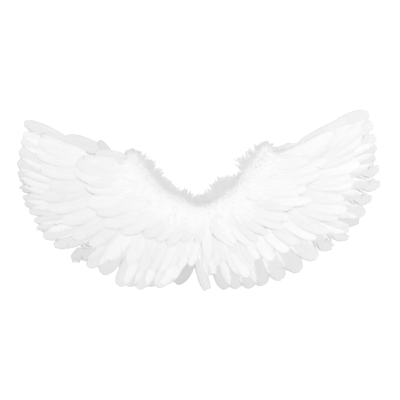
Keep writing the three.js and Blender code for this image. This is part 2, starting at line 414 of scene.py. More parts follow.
class GeometryGraph(Graph):
    """A Geometry Nodes tree with named inputs."""

    def __init__(self, name: str) -> None:
        """Makes the tree with one geometry in and one out.

        Args:
            name: The tree's name.
        """
        super().__init__(bpy.data.node_groups.new(name, "GeometryNodeTree"))
        for way in ("INPUT", "OUTPUT"):
            self.tree.interface.new_socket("Geometry", in_out=way, socket_type="NodeSocketGeometry")
        self.source = self.tree.nodes.new("NodeGroupInput")
        self.sink = self.tree.nodes.new("NodeGroupOutput")

    def input(self, name: str, kind: str) -> NodeSocket:
        """Adds a named input of a socket kind such as Float, and returns it."""
        self.tree.interface.new_socket(name, in_out="INPUT", socket_type="NodeSocket" + kind)
        return self.source.outputs[name]

    def attribute(self, name: str, kind: str) -> NodeSocket:
        """Returns a named attribute of the geometry."""
        return self.add("GeometryNodeInputNamedAttribute", {"Name": name}, data_type=kind).outputs[0]

    def blanks_on_points(self, blanks: Any, points: Any) -> NodeSocket:
        """Puts a blank on each point.

        Args:
            blanks: The collection of blanks.
            points: The points, whose variant picks the blank.

        Returns:
            The blanks as real geometry.
        """
        info = {"Collection": blanks, "Separate Children": True, "Reset Children": True}
        picked = {
            "Points": points,
            "Instance": self.add("GeometryNodeCollectionInfo", info).outputs[0],
            "Pick Instance": True,
            "Instance Index": self.attribute("variant", "INT"),
        }
        instances = self.add("GeometryNodeInstanceOnPoints", picked).outputs[0]
        return self.add("GeometryNodeRealizeInstances", {0: instances}).outputs[0]

    def shaft(self, share: Any) -> tuple[NodeSocket, NodeSocket]:
        """Follows the shafts, which run from root by bow to tip.

        Args:
            share: How far along, from 0 to 1.

        Returns:
            The point there and the unit heading.
        """
        root = self.attribute("root", "FLOAT_VECTOR")
        bow = self.attribute("bow", "FLOAT_VECTOR")
        tip = self.attribute("tip", "FLOAT_VECTOR")
        near = self.between(share, root, bow)
        far = self.between(share, bow, tip)
        heading = self.vector("NORMALIZE", self.vector("SUBTRACT", far, near))
        return self.between(share, near, far), heading

    def finish(self, geometry: Any, place: Any, material: Any) -> None:
        """Moves the geometry to its place, gives it its material and ends the tree.

        Args:
            geometry: What the tree has made.
            place: Where each of its points goes.
            material: Its finish.
        """
        moved = self.add("GeometryNodeSetPosition", {"Geometry": geometry, "Position": place})
        dressed = {"Geometry": moved.outputs[0], "Material": material}
        self.link(self.add("GeometryNodeSetMaterial", dressed).outputs[0], self.sink.inputs[0])


def feather_row_tree() -> NodeTree:
    """Makes the tree that lays a feather along each shaft of a row.

    Returns:
        The tree.
    """
    graph = GeometryGraph("feather_row")
    blanks = graph.input("Blanks", "Collection")
    camber = graph.input("Camber", "Float")
    shingle = graph.input("Shingle", "Float")
    ruffle = graph.input("Ruffle", "Float")
    ruffle_scale = graph.input("Ruffle Scale", "Float")
    material = graph.input("Material", "Material")
    feathers = graph.blanks_on_points(blanks, graph.source.outputs["Geometry"])
    along, across, height = graph.split(graph.add("GeometryNodeInputPosition", {}).outputs[0])
    centre, heading = graph.shaft(along)
    sideways = graph.vector("CROSS_PRODUCT", (0.0, 0.0, 1.0), heading)
    half = graph.attribute("half_width", "FLOAT")
    reach = graph.times(across, half)
    plan = graph.vector("ADD", centre, graph.scaled(sideways, reach))
    out = graph.math("ABSOLUTE", across)
    sag = graph.times(graph.times(out, out), graph.times(half, 2.0))
    sag = graph.times(sag, camber)
    tilt = graph.times(graph.times(reach, shingle), graph.attribute("facing", "FLOAT"))
    form = graph.times(graph.minus(tilt, sag), graph.attribute("form", "FLOAT"))
    seed = graph.attribute("seed", "FLOAT")
    wave = graph.noise(graph.vector("ADD", plan, graph.joined(0.0, 0.0, seed)), ruffle_scale)
    wave = graph.times(graph.minus(wave, 0.5), graph.times(out, ruffle))
    rise = graph.plus(graph.plus(height, form), wave)
    rise = graph.plus(rise, graph.attribute("lift", "FLOAT"))
    graph.finish(feathers, graph.vector("ADD", plan, graph.joined(0.0, 0.0, rise)), material)
    return graph.tree


def down_barb_tree() -> NodeTree:
    """Makes the tree that bends a fine barb of down along each shaft.

    Returns:
        The tree.
    """
    graph = GeometryGraph("down_barbs")
    blanks = graph.input("Blanks", "Collection")
    curl = graph.input("Curl", "Float")
    curl_scale = graph.input("Curl Scale", "Float")
    material = graph.input("Material", "Material")
    barbs = graph.blanks_on_points(blanks, graph.source.outputs["Geometry"])
    along, across, height = graph.split(graph.add("GeometryNodeInputPosition", {}).outputs[0])
    centre, heading = graph.shaft(along)
    sideways = graph.vector("NORMALIZE", graph.vector("CROSS_PRODUCT", DOWN_AXIS, heading))
    upwards = graph.vector("CROSS_PRODUCT", heading, sideways)
    half = graph.attribute("half_width", "FLOAT")
    round_it = graph.vector(
        "ADD",
        graph.scaled(sideways, graph.times(across, half)),
        graph.scaled(upwards, graph.times(height, half)),
    )
    inputs = {"Vector": centre, "Scale": curl_scale, "Detail": 1.0}
    swirl = graph.add("ShaderNodeTexNoise", inputs).outputs[1]
    swirl = graph.vector("SUBTRACT", swirl, (0.5, 0.5, 0.5))
    swirl = graph.scaled(swirl, graph.times(along, curl))
    graph.finish(barbs, graph.vector("ADD", graph.vector("ADD", centre, round_it), swirl), material)
    return graph.tree


def new_object(name: str, data: Any) -> Object:
    """Makes an object at the origin and puts it into the scene.

    Args:
        name: The object's name.
        data: Its mesh, light or camera.

    Returns:
        The object.
    """
    item = bpy.data.objects.new(name, data)
    bpy.context.scene.collection.objects.link(item)
    return item


def new_mesh(name: str, points: Sequence[Sequence[float]], faces: Sequence[Sequence[int]]) -> Mesh:
    """Makes a mesh from points and faces.

    Args:
        name: The mesh's name.
        points: Each point's x, y and z.
        faces: The numbers of each face's points, anticlockwise from outside.

    Returns:
        The mesh.
    """
    mesh = bpy.data.meshes.new(name)
    mesh.from_pydata(points, [], faces)
    return mesh


def point_mesh(name: str, columns: dict[str, np.ndarray]) -> Mesh:
    """Makes a mesh of loose points at the origin that carry attributes.

    Args:
        name: The mesh's name.
        columns: For each attribute one number or one vector a point.

    Returns:
        The mesh.
    """
    mesh = bpy.data.meshes.new(name)
    mesh.vertices.add(len(next(iter(columns.values()))))
    for key, values in columns.items():
        if values.ndim == 2:
            kind, part = "FLOAT_VECTOR", "vector"
        else:
            kind, part = ("INT" if values.dtype.kind == "i" else "FLOAT"), "value"
        store = mesh.attributes.new(key, kind, "POINT")
        store.data.foreach_set(part, np.ascontiguousarray(values).ravel())
    return mesh


def grow(name: str, points: Mesh, tree: NodeTree, values: dict[str, Any]) -> Object:
    """Runs a Geometry Nodes tree on points and keeps the result as a plain mesh.

    Args:
        name: The new piece's name.
        points: The points that the tree works on.
        tree: The tree.
        values: The tree's inputs by name.

    Returns:
        The piece, with no modifier left on it.
    """
    piece = new_object(name, points)
    modifier = piece.modifiers.new("grow", "NODES")
    modifier.node_group = tree
    for item in tree.interface.items_tree:
        if item.in_out == "INPUT" and item.name in values:
            modifier[item.identifier] = values[item.name]
    graph = bpy.context.evaluated_depsgraph_get()
    mesh = bpy.data.meshes.new_from_object(piece.evaluated_get(graph), depsgraph=graph)
    piece.modifiers.remove(modifier)
    piece.data = mesh
    mesh.name = name
    mesh.materials.clear()
    mesh.materials.append(values["Material"])
    mesh.polygons.foreach_set("material_index", np.zeros(len(mesh.polygons), np.int32))
    return piece


def read(items: Any, key: str, width: int, kind: type) -> np.ndarray:
    """Reads one property of all the items of a mesh.

    Args:
        items: The mesh's vertices, its normals or an attribute's entries.
        key: The property's name.
        width: The number of values in each item.
        kind: The values' type.

    Returns:
        One row an item.
    """
    flat = np.empty(len(items) * width, kind)
    items.foreach_get(key, flat)
    return flat.reshape(-1, width)


def store_numbers(mesh: Mesh, name: str, values: np.ndarray) -> None:
    """Keeps one number a vertex as a named attribute."""
    store = mesh.attributes.new(name, "FLOAT", "POINT")
    store.data.foreach_set("value", values.astype(np.float32))


class Solid:
    """Collects closed shells made of grids and tubes into one mesh."""

    def __init__(self) -> None:
        """Starts with nothing in it."""
        self.points: list[np.ndarray] = []
        self.marks: list[np.ndarray] = []
        self.faces: list[tuple[int, ...]] = []
        self.count = 0

    def _keep(self, points: np.ndarray, marks: np.ndarray) -> int:
        """Adds points with their marks.

        Args:
            points: One point a row.
            marks: One mark a row.

        Returns:
            The first point's number.
        """
        first = self.count
        self.points.append(points)
        self.marks.append(marks)
        self.count += len(points)
        return first

    def slab(self, grid: np.ndarray, marks: np.ndarray, thickness: float) -> None:
        """Adds a thin closed shell on both sides of a grid of points.

        Args:
            grid: Points by row and column, with x rising by row.
            marks: One vector a point that the surface keeps.
            thickness: The shell's height along z.
        """
        rows, columns = grid.shape[:2]
        offset = np.array([0.0, 0.0, thickness / 2])
        layers = np.concatenate([(grid + offset).reshape(-1, 3), (grid - offset).reshape(-1, 3)])
        first = self._keep(layers, np.concatenate([marks.reshape(-1, 3)] * 2))
        top = first + np.arange(rows * columns).reshape(rows, columns)
        below = rows * columns
        corners = [top[:-1, :-1], top[1:, :-1], top[1:, 1:], top[:-1, 1:]]
        rim = [*top[:, 0], *top[-1, 1:], *top[-2::-1, -1], *top[0, -2:0:-1]]
        if grid[0, -1, 1] < grid[0, 0, 1]:
            corners.reverse()
            rim.reverse()
        quads = np.stack(corners, axis=-1).reshape(-1, 4)
        self.faces += [tuple(quad) for quad in quads.tolist()]
        self.faces += [tuple(quad) for quad in (quads[:, ::-1] + below).tolist()]
        for a, b in zip(rim, rim[1:] + rim[:1]):
            self.faces.append((int(a + below), int(b + below), int(b), int(a)))

    def tube(self, rings: np.ndarray, marks: np.ndarray) -> None:
        """Adds a closed tube.

        Args:
            rings: Points by ring and side, along x, each ring turning from y to z.
            marks: One vector a point that the surface keeps.
        """
        count, sides = rings.shape[:2]
        first = self._keep(rings.reshape(-1, 3), marks.reshape(-1, 3))
        index = first + np.arange(count * sides).reshape(count, sides)
        turned = np.roll(index, -1, axis=1)
        quads = np.stack([index[:-1], turned[:-1], turned[1:], index[1:]], axis=-1)
        self.faces += [tuple(quad) for quad in quads.reshape(-1, 4).tolist()]
        self.faces += [tuple(index[0, ::-1].tolist()), tuple(index[-1].tolist())]

    def mesh(self, name: str) -> Mesh:
        """Makes the mesh.

        Args:
            name: The mesh's name.

        Returns:
            The mesh, with each point's mark in the attribute barb.
        """
        mesh = new_mesh(name, np.concatenate(self.points).tolist(), self.faces)
        store = mesh.attributes.new("barb", "FLOAT_VECTOR", "POINT")
        store.data.foreach_set("vector", np.concatenate(self.marks).ravel())
        mesh.shade_smooth()
        return mesh


# Shares of a feather's length at which the height of its ridge is given
SECTION_SHARES = (0.0, 0.34, 0.62, 0.88, 1.0)


@dataclass(frozen=True)
class VaneForm:
    """How the feathers of one level are cut.

    ridge is the shaft's height above the quill at each of the section shares. The vane starts at a share
    of the length, reaches its full breadth after the share that filling gives, keeps it up to the shoulder,
    and its barbs slant towards the tip. square is the breadth that is left at the very tip, and roundness
    shapes the way there. splits is the least and most number of splits in a half vane, gape how far they
    open, and ragged how uneven its edge is. quill is the shaft's radius at its root, and rachis how much the
    shaft's own tone shows.
    """

    ridge: tuple[float, ...]
    width: float
    start: float = 0.12
    slant: float = 0.24
    shoulder: float = 0.6
    roundness: float = 3.0
    square: float = 0.0
    splits: tuple[int, int] = (1, 3)
    gape: float = 0.024
    ragged: float = 0.03
    barbs: int = 44
    columns: int = 3
    thickness: float = 0.3
    quill: float = 0.8
    rachis: float = 1.0
    filling: float = 0.46

    FILL_POWER = 0.75
    RIDGE_STEPS = 41

    def breadth(self, share: np.ndarray) -> np.ndarray:
        """Works out the vane's half breadth.

        Args:
            share: Shares of the length.

        Returns:
            The half breadths, 1 at the widest.
        """
        rise = np.clip((share - self.start / 2) / self.filling, 0.0, 1.0)
        fall = np.clip((share - self.shoulder) / (1.0 - self.shoulder), 0.0, 1.0)
        tip = np.sqrt(1.0 - (1.0 - self.square**2) * fall**self.roundness)
        return np.sin(rise * np.pi / 2) ** self.FILL_POWER * tip

    def height(self, share: np.ndarray) -> np.ndarray:
        """Returns the shaft's heights over the floor at shares of the length, in metres."""
        knots = Spline(*zip(SECTION_SHARES, self.ridge)).sample(self.RIDGE_STEPS)
        return (QUILL_HEIGHT + np.interp(share, knots[:, 0], knots[:, 1])) * MM


FORMS = {
    Level.FLIGHT: VaneForm(
        ridge=(0.0, 1.4, 1.7, 1.2, 0.3), width=38, splits=(0, 2), gape=0.012, ragged=0.02, columns=6
    ),
    Level.TAIL: VaneForm(
        ridge=(0.0, 2.6, 3.0, 2.6, 1.8), width=25, square=0.75, splits=(0, 0), quill=1.5, rachis=5.0
    ),
    Level.EDGE: VaneForm(ridge=(0.0, 0.8, 1.6, 2.4, 2.6), width=28, splits=(0, 0)),
    Level.MIDDLE: VaneForm(
        ridge=(0.0, 3.6, 4.2, 3.1, 2.0), width=38, roundness=2.6, ragged=0.015, splits=(0, 1), gape=0.01
    ),
    Level.SHORT: VaneForm(
        ridge=(0.0, 4.8, 6.2, 5.6, 4.5),
        width=40,
        roundness=2.4,
        shoulder=0.55,
        ragged=0.015,
        splits=(0, 1),
        gape=0.01,
        start=0.02,
        filling=0.24,
    ),
}


@dataclass
class FeatherBlank:
    """One feather on a straight shaft, before it is bent and placed.

    x runs along the shaft from 0 to 1, y across it in half widths, and z is the height in metres. A frayed
    feather has more and wider splits, close together near the tip.

    The barbs stand on the shaft up to LAST_FOOT. Their slant fades towards the tip by SLANT_FADE, and SWEEP
    curves them. A barb's length varies inside TRIM_LIMITS, and a half vane is narrowed by a draw from
    SIDE_SPREAD. Splits keep CUT_MARGINS barbs from both ends, open by a draw from OPEN_SPREAD,
    and close again over OPEN_BARBS barbs. A frayed feather's splits start at a barb drawn from FRAY_START and
    lie FRAY_STEP barbs apart.
    """

    form: VaneForm
    seed: int
    frayed: bool = False

    FRAY_SPLITS = 4
    FRAY_GAPE = 0.036
    FRAY_START = (20, 32)
    FRAY_STEP = (1, 4)
    LAST_FOOT = 0.985
    SLANT_FADE = 0.75
    SWEEP = 1.15
    TRIM_LIMITS = (0.9, 1.06)
    SIDE_SPREAD = (0.9, 1.0)
    CUT_MARGINS = (6, 4)
    OPEN_SPREAD = (0.2, 1.0)
    OPEN_BARBS = 3.0
    SHAFT_END = 0.97
    SHAFT_RINGS = 15
    SHAFT_SIDES = 6
    SHAFT_TAPER = 0.82
    SHAFT_TAPER_POWER = 0.8
    SHAFT_RISE = 0.15

    def mesh(self, name: str) -> Mesh:
        """Makes two half vanes with their splits, and the shaft between them.

        Args:
            name: The mesh's name.

        Returns:
            The blank's mesh.
        """
        draw = np.random.default_rng(self.seed)
        solid = Solid()
        for side in (1.0, -1.0):
            self._half_vane(solid, side, draw)
        self._shaft(solid)
        return solid.mesh(name)

    def _half_vane(self, solid: Solid, side: float, draw: np.random.Generator) -> None:
        """Adds the vane on one side of the shaft, in groups of barbs with splits between them.

        Args:
            solid: What the vane is added to.
            side: 1 to the left of the shaft and -1 to the right.
            draw: The feather's random draws.
        """
        form = self.form
        barbs = form.barbs + 1
        foot = np.linspace(form.start, self.LAST_FOOT, barbs)
        end = foot + form.slant * (1.0 - foot) ** self.SLANT_FADE
        out = np.linspace(0.0, 1.0, form.columns + 1)
        trim = 1.0 + form.ragged * draw.normal(size=barbs)
        half = side * form.breadth(end) * np.clip(trim, *self.TRIM_LIMITS) * draw.uniform(*self.SIDE_SPREAD)
        splits = self.FRAY_SPLITS if self.frayed else draw.integers(*form.splits, endpoint=True)
        gape = self.FRAY_GAPE if self.frayed else form.gape
        first_cut, spare = self.CUT_MARGINS
        cuts = np.sort(draw.choice(np.arange(first_cut, barbs - spare), splits, False))
        if self.frayed:
            cuts = draw.integers(*self.FRAY_START) + np.cumsum(draw.integers(*self.FRAY_STEP, splits))
        bounds = [0, *cuts.tolist(), barbs - 1]
        for first, last in zip(bounds, bounds[1:]):
            group = np.arange(first, last + 1)
            low_gape = draw.uniform(*self.OPEN_SPREAD) * gape
            high_gape = draw.uniform(*self.OPEN_SPREAD) * gape
            open_low = low_gape * np.exp(-(group - first) / self.OPEN_BARBS) * (first > 0)
            open_high = high_gape * np.exp(-(last - group) / self.OPEN_BARBS) * (last < barbs - 1)
            x = foot[group, None] + (end - foot)[group, None] * out**self.SWEEP
            x += (open_low - open_high)[:, None] * out**2
            y = half[group, None] * out
            grid = np.stack([x, y, form.height(x)], axis=-1)
            marks = np.stack(np.broadcast_arrays(side * out, foot[group, None], 0.0), axis=-1)
            solid.slab(grid, marks, form.thickness * MM)

    def _shaft(self, solid: Solid) -> None:
        """Adds the tapered shaft from quill to tip.

        Args:
            solid: What the shaft is added to.
        """
        form = self.form
        stations = np.linspace(0.0, self.SHAFT_END, self.SHAFT_RINGS)
        radius = form.quill * (1.0 - self.SHAFT_TAPER * stations**self.SHAFT_TAPER_POWER) * MM
        turn = np.linspace(0.0, 2 * np.pi, self.SHAFT_SIDES, endpoint=False)
        y = radius[:, None] * np.cos(turn) / (form.width / 2 * MM)
        z = (form.height(stations) + self.SHAFT_RISE * MM)[:, None] + radius[:, None] * np.sin(turn)
        x = np.broadcast_to(stations[:, None], y.shape)
        marks = np.stack(np.broadcast_arrays(0.0, x, form.rachis), axis=-1)
        solid.tube(np.stack([x, y, z], axis=-1), marks)


def blank_collection(name: str, meshes: Iterable[Mesh]) -> Collection:
    """Keeps meshes as the numbered blanks that a tree picks from.

    Args:
        name: The collection's name.
        meshes: The blanks in order.

    Returns:
        The collection, which isn't part of the scene.
    """
    collection = bpy.data.collections.new(name)
    for number, mesh in enumerate(meshes):
        collection.objects.link(bpy.data.objects.new(f"{name}_{number:02d}", mesh))
    return collection


def drop_collection(collection: Collection) -> None:
    """Removes a collection of blanks with its objects.

    Args:
        collection: The collection.
    """
    for blank in list(collection.objects):
        bpy.data.objects.remove(blank)
    bpy.data.collections.remove(collection)


@dataclass(frozen=True)
class Feather:
    """One feather's place in plan: its shaft from root by bow to tip, in millimetres.

    facing is 1 where the next feather lies to the left of the shaft, and -1 to the right. lift raises it
    over its neighbours.
    """

    root: np.ndarray
    bow: np.ndarray
    tip: np.ndarray
    facing: float
    width: float
    lift: float

    OUTLINE_START = 0.14
    OUTLINE_STEPS = 26

    def outline(self, form: VaneForm) -> np.ndarray:
        """Works out the vane's outline in plan.

        Args:
            form: How the feather is cut.

        Returns:
            The outline's points in metres, one a row.
        """
        share = np.linspace(self.OUTLINE_START, 1.0, self.OUTLINE_STEPS)[:, None]
        centre, heading = along_bow(self.root, self.bow, self.tip, share)
        across = left_of(heading)
        reach = form.breadth(share) * self.width / 2
        return np.concatenate([centre + across * reach, (centre - across * reach)[::-1]]) * MM


class LayerMap:
    """Counts how many vanes and panels lie over each other at points in plan."""

    def __init__(self) -> None:
        """Starts with no outlines."""
        self.outlines: list[np.ndarray] = []

    def add(self, outline: np.ndarray) -> None:
        """Adds one closed outline in metres."""
        self.outlines.append(outline)

    def count(self, points: np.ndarray) -> np.ndarray:
        """Returns the number of outlines round each point.

        Args:
            points: One x and y a row, in metres.

        Returns:
            The counts, one a row.
        """
        layers = np.zeros(len(points), int)
        for outline in self.outlines:
            low, high = outline.min(axis=0), outline.max(axis=0)
            near = np.flatnonzero(np.all((points >= low) & (points <= high), axis=1))
            layers[near] += self._inside(points[near], outline)
        return layers

    @staticmethod
    def _inside(points: np.ndarray, outline: np.ndarray) -> np.ndarray:
        """Finds the points that an outline goes round.

        Args:
            points: One x and y a row.
            outline: The closed outline.

        Returns:
            True for each point inside.
        """
        x, y = points.T
        inside = np.zeros(len(points), bool)
        for (ax, ay), (bx, by) in zip(outline, np.roll(outline, 1, axis=0)):
            if ay != by:
                crossing = (ay > y) != (by > y)
                inside ^= crossing & (x < (bx - ax) * (y - ay) / (by - ay) + ax)
        return inside


@dataclass
class FeatherRow:
    """A row of feathers whose quills start from one line.

    feathers lists tip x, tip y, width and perhaps bend. Where it is empty, count feathers are spread along
    the tips, with widths at the outer part and at the last feather, and scatter is the difference in their
    lengths. broaden widens the listed feathers from the first to the last. A flat row has no camber or tilt,
    lift raises it over its neighbours, and sheer is how much of the white behind shows through: it scales the
    painted light that makes vanes lying over each other lighter. tone brightens the row, tones gives single
    feathers their own, and frayed lists the frayed ones. ruffle is the wave of the vanes in millimetres. A
    backed row has shorter feathers behind its own. place fills places with all.
    """

    name: str
    level: Level
    quills: Spline
    feathers: Sequence[Sequence[float]] = ()
    tips: Spline | None = None
    count: int = 0
    widths: tuple[float, float] = (0.0, 0.0)
    broaden: tuple[float, float] = (1.0, 1.0)
    scatter: float = 0.1
    flat: bool = False
    lift: float = 0.0
    stacked_light_share: float = 1.0
    tone: float = 0.0
    tones: dict[int, float] = field(default_factory=dict)
    frayed: tuple[int, ...] = ()
    ruffle: float = 1.6
    backed: bool = False
    places: list[Feather] = field(default_factory=list)

    SIDEWAYS = 5.0
    WIDTH_SPREAD = 0.14
    WIDTH_SHARES = (0.45, 1.0)
    BACK_LENGTH = 0.78
    BACK_DROP = 0.9
    BACK_SLIDE = 0.1
    BACK_LENGTH_SPREAD = 0.06
    BACK_WIDTH_SPREAD = 0.1
    RUFFLE_SCALE = 28.0
    MOST_SEED = 50.0
    SHARP_ANGLE = 40.0

    def _table(self) -> list[tuple[float, float, float, float]]:
        """Lists the row's own feathers.

        Returns:
            Tip x, tip y, width and bend of each.
        """
        grown = np.linspace(*self.broaden, len(self.feathers))
        rows = [(x, y, width * factor, *bend) for (x, y, width, *bend), factor in zip(self.feathers, grown)]
        for i in range(0 if rows else self.count):
            share = i / (self.count - 1)
            root = self.quills.at(share)
            slide = self.SIDEWAYS * vary(i + 0.3 * self.count)
            tip = self.tips.at(share) + self.tips.heading(share) * slide
            tip = root + (tip - root) * (1 + self.scatter * vary(i + 0.6 * self.count))
            width = np.interp(share, self.WIDTH_SHARES, self.widths)
            rows.append((*tip, width * (1 + self.WIDTH_SPREAD * vary(i + 0.9 * self.count))))
        return [row if len(row) == 4 else (*row, self._usual_bend(row)) for row in rows]

    @staticmethod
    def _usual_bend(row: Sequence[float]) -> float:
        """Returns the bend of a feather that the table gives none for."""
        return USUAL_BEND + BEND_SPREAD * vary(row[0] + row[1])

    def place(self) -> None:
        """Works out where each feather of the row lies."""
        table = self._table()
        for i, (tip_x, tip_y, width, bend) in enumerate(table):
            share = i / (len(table) - 1) if len(table) > 1 else 0.5
            root = self.quills.at(share)
            tip = np.array([tip_x, tip_y], float)
            shaft = unit(tip - root)
            left = left_of(shaft)
            facing = 1.0 if left @ self.quills.heading(share) >= 0 else -1.0
            bow = (root + tip) / 2 + left * facing * 2 * bend * np.linalg.norm(tip - root)
            self.places.append(Feather(root, bow, tip, facing, width, self.lift))
        if self.backed:
            self._place_backs()

    def _place_backs(self) -> None:
        """Adds a shorter feather behind each pair of neighbours, to close the gap between them."""
        for i, (near, far) in enumerate(zip(self.places, self.places[1:])):
            share = 0.5 + self.BACK_SLIDE * vary(i + 0.7)
            root = near.root + (far.root - near.root) * share
            tip = near.tip + (far.tip - near.tip) * share
            bow = near.bow + (far.bow - near.bow) * share
            length = self.BACK_LENGTH + self.BACK_LENGTH_SPREAD * vary(i + 0.2)
            place = Feather(
                root,
                root + (bow - root) * length,
                root + (tip - root) * length,
                near.facing,
                near.width * (1.0 + self.BACK_WIDTH_SPREAD * vary(i + 0.4)),
                self.lift - self.BACK_DROP,
            )
            self.places.append(place)

    def points(self, variants: int, seed: int) -> Mesh:
        """Makes one point a feather with what the tree needs to lay it.

        Args:
            variants: The number of blanks to pick from, of which the last is frayed.
            seed: For the row's random draws.

        Returns:
            The points.
        """
        draw = np.random.default_rng(seed)
        count = len(self.places)
        usual = variants - 1
        variant = np.concatenate([draw.permutation(usual) for _ in range(count // usual + 1)])[:count]
        variant[list(self.frayed)] = usual
        return point_mesh(
            self.name,
            {
                **{key: self._in_plan(key) for key in ("root", "bow", "tip")},
                "half_width": np.array([place.width / 2 * MM for place in self.places]),
                "facing": np.array([place.facing for place in self.places]),
                "form": np.full(count, 0.0 if self.flat else 1.0),
                "lift": np.array([place.lift * MM for place in self.places]),
                "seed": draw.uniform(0.0, self.MOST_SEED, count),
                "variant": variant.astype(np.int32),
                "feather": np.arange(count, dtype=np.int32),
            },
        )

    def _in_plan(self, key: str) -> np.ndarray:
        """Returns one kind of point of every feather in metres, at height 0."""
        values = np.array([getattr(place, key) for place in self.places]) * MM
        return np.column_stack([values, np.zeros(len(values))])

    def build(self, tree: NodeTree, blanks: Collection, material: Material, seed: int) -> Object:
        """Lays the row's feathers.

        Args:
            tree: The feather row tree.
            blanks: The feathers to pick from.
            material: The feathers' finish.
            seed: For the row's random draws.

        Returns:
            The row as one piece.
        """
        values = {
            "Blanks": blanks,
            "Camber": CAMBER,
            "Shingle": SHINGLE,
            "Ruffle": self.ruffle * MM,
            "Ruffle Scale": self.RUFFLE_SCALE,
            "Material": material,
        }
        return grow(self.name, self.points(len(blanks.objects), seed), tree, values)

    def shade(self, piece: Object, layers: LayerMap, finish: "FeatherFinish", seed: int) -> None:
        """Stores each vertex's tone with painted shade and light: a single vane is painted greyer than
        several over each other.

        Args:
            piece: The row's piece.
            layers: All the vanes and the panel.
            finish: The feathers' finish.
            seed: For the feathers' own tones.
        """
        draw = np.random.default_rng(seed)
        mesh = piece.data
        depth = layers.count(read(mesh.vertices, "co", 3, float)[:, :2])
        feather = read(mesh.attributes["feather"].data, "value", 1, np.int32)[:, 0]
        own = self.tone + finish.spread * draw.uniform(-1.0, 1.0, len(self.places))
        for index, tone in self.tones.items():
            own[index] = tone
        # Painted shade and light: a lone vane gets the greyer tone, and vanes lying over others a lighter one
        share = self.stacked_light_share * np.interp(depth, finish.LAYERS, finish.SHARES)
        tone = finish.thin + (finish.full - finish.thin) * share
        tone += own[feather] * np.maximum(finish.OWN_ALONE - share, finish.OWN_LEAST)
        store_numbers(mesh, "tone", np.clip(tone, 0.0, 1.0))
        mesh.set_sharp_from_angle(angle=math.radians(self.SHARP_ANGLE))


@dataclass(frozen=True)
class FeatherFinish:
    """White goose feather: fine barbs, a pale shaft, greyer where one vane lies alone.

    thin is the tone of one vane alone and full that of several, by the SHARES for a number of LAYERS: painted
    shade and light, greyer alone and lighter stacked, standing in for light passing through. leak is the
    share of light that passes through, spread the difference between feathers, shaft what the shaft adds,
    streak the contrast along the barbs, and edge how much darker the rim of a vane is painted, a painted
    shade. A feather's own tone counts OWN_ALONE times where its vane is alone, and OWN_LEAST times or more
    elsewhere. RIBS sets how close together the barbs of the bump are.
    """

    # Painted shade and light: the tones of a vane alone and of vanes lying over each other
    thin: float = 0.778
    full: float = 0.87
    leak: float = 0.18
    spread: float = 0.04
    shaft: float = 0.03
    streak: float = 0.09
    # Painted shade: how much darker the rim of each vane is
    edge: float = 0.04
    roughness: float = 0.62
    specular: float = 0.25
    sheen: float = 0.08

    LAYERS = (1.0, 2.0, 3.0, 4.0, 5.0)
    SHARES = (0.0, 1.16, 1.08, 1.0, 1.0)
    OWN_ALONE = 1.3
    OWN_LEAST = 0.6
    STREAKS_OUT = 5.0
    STREAKS_ALONG = 3.0
    EDGE_POWER = 4.0
    RIBS = 520.0
    BUMP = {"Strength": 0.12, "Distance": 0.0002}

    def material(self) -> Material:
        """Makes the material.

        Returns:
            The material, which reads the attributes tone and barb.
        """
        material, graph, shader = new_material("goose_feather", self.roughness, self.specular, self.sheen)
        tone = graph.add("ShaderNodeAttribute", {}, attribute_name="tone").outputs["Fac"]
        barb = graph.add("ShaderNodeAttribute", {}, attribute_name="barb").outputs["Vector"]
        out, foot, is_shaft = graph.split(barb)
        across, along = graph.times(out, self.STREAKS_OUT), graph.times(foot, self.STREAKS_ALONG)
        lines = graph.joined(across, along, 0.0)
        streaks = graph.minus(graph.noise(lines, 1.0, 3.0), 0.5)
        vane = graph.plus(tone, graph.times(streaks, self.streak))
        grey = graph.plus(vane, graph.times(is_shaft, self.shaft))
        # Painted shade: darker towards the rim of each vane
        rim = graph.math("POWER", graph.math("ABSOLUTE", out), self.EDGE_POWER)
        colour = graph.grey(graph.minus(grey, graph.times(rim, self.edge)))
        ribs = graph.math("SINE", graph.times(foot, self.RIBS))
        bump = {**self.BUMP, "Height": ribs}
        graph.link(colour, shader.inputs["Base Color"])
        graph.link(graph.add("ShaderNodeBump", bump).outputs[0], shader.inputs["Normal"])
        leaked = graph.add("ShaderNodeBsdfTranslucent", {"Color": colour}).outputs[0]
        mixed = graph.add("ShaderNodeMixShader", {0: self.leak, 1: shader.outputs[0], 2: leaked}).outputs[0]
        graph.link(mixed, graph.tree.nodes["Material Output"].inputs["Surface"])
        return material


@dataclass(frozen=True)
class DownFinish:
    """Fluffy white down, with painted shade that makes it greyer where nothing lies behind it.

    thin is the painted-shade tone of loose down alone and full the lighter tone of down backed by more. fluff
    is the difference between barbs, cloud that between patches, and sunk how much darker the bottom of the
    trim is painted than its top, a painted shade.
    """

    # Painted shade and light: loose down greyer, down backed by more lighter
    thin: float = 0.622
    full: float = 0.795
    fluff: float = 0.024
    # Painted shade at the bottom of the trim
    bottom_shade: float = 0.08
    cloud: float = 0.06
    roughness: float = 0.9
    specular: float = 0.1
    sheen: float = 0.1

    CLOUD_SCALE = 90.0

    def material(self) -> Material:
        """Makes the material.

        Returns:
            The material, which reads the attribute tone.
        """
        material, graph, shader = new_material("down_fluff", self.roughness, self.specular, self.sheen)
        tone = graph.add("ShaderNodeAttribute", {}, attribute_name="tone").outputs["Fac"]
        place = graph.add("ShaderNodeTexCoord", {}).outputs["Object"]
        patches = graph.minus(graph.noise(place, self.CLOUD_SCALE, 3.0), 0.5)
        colour = graph.grey(graph.plus(tone, graph.times(patches, self.cloud)))
        graph.link(colour, shader.inputs["Base Color"])
        return material


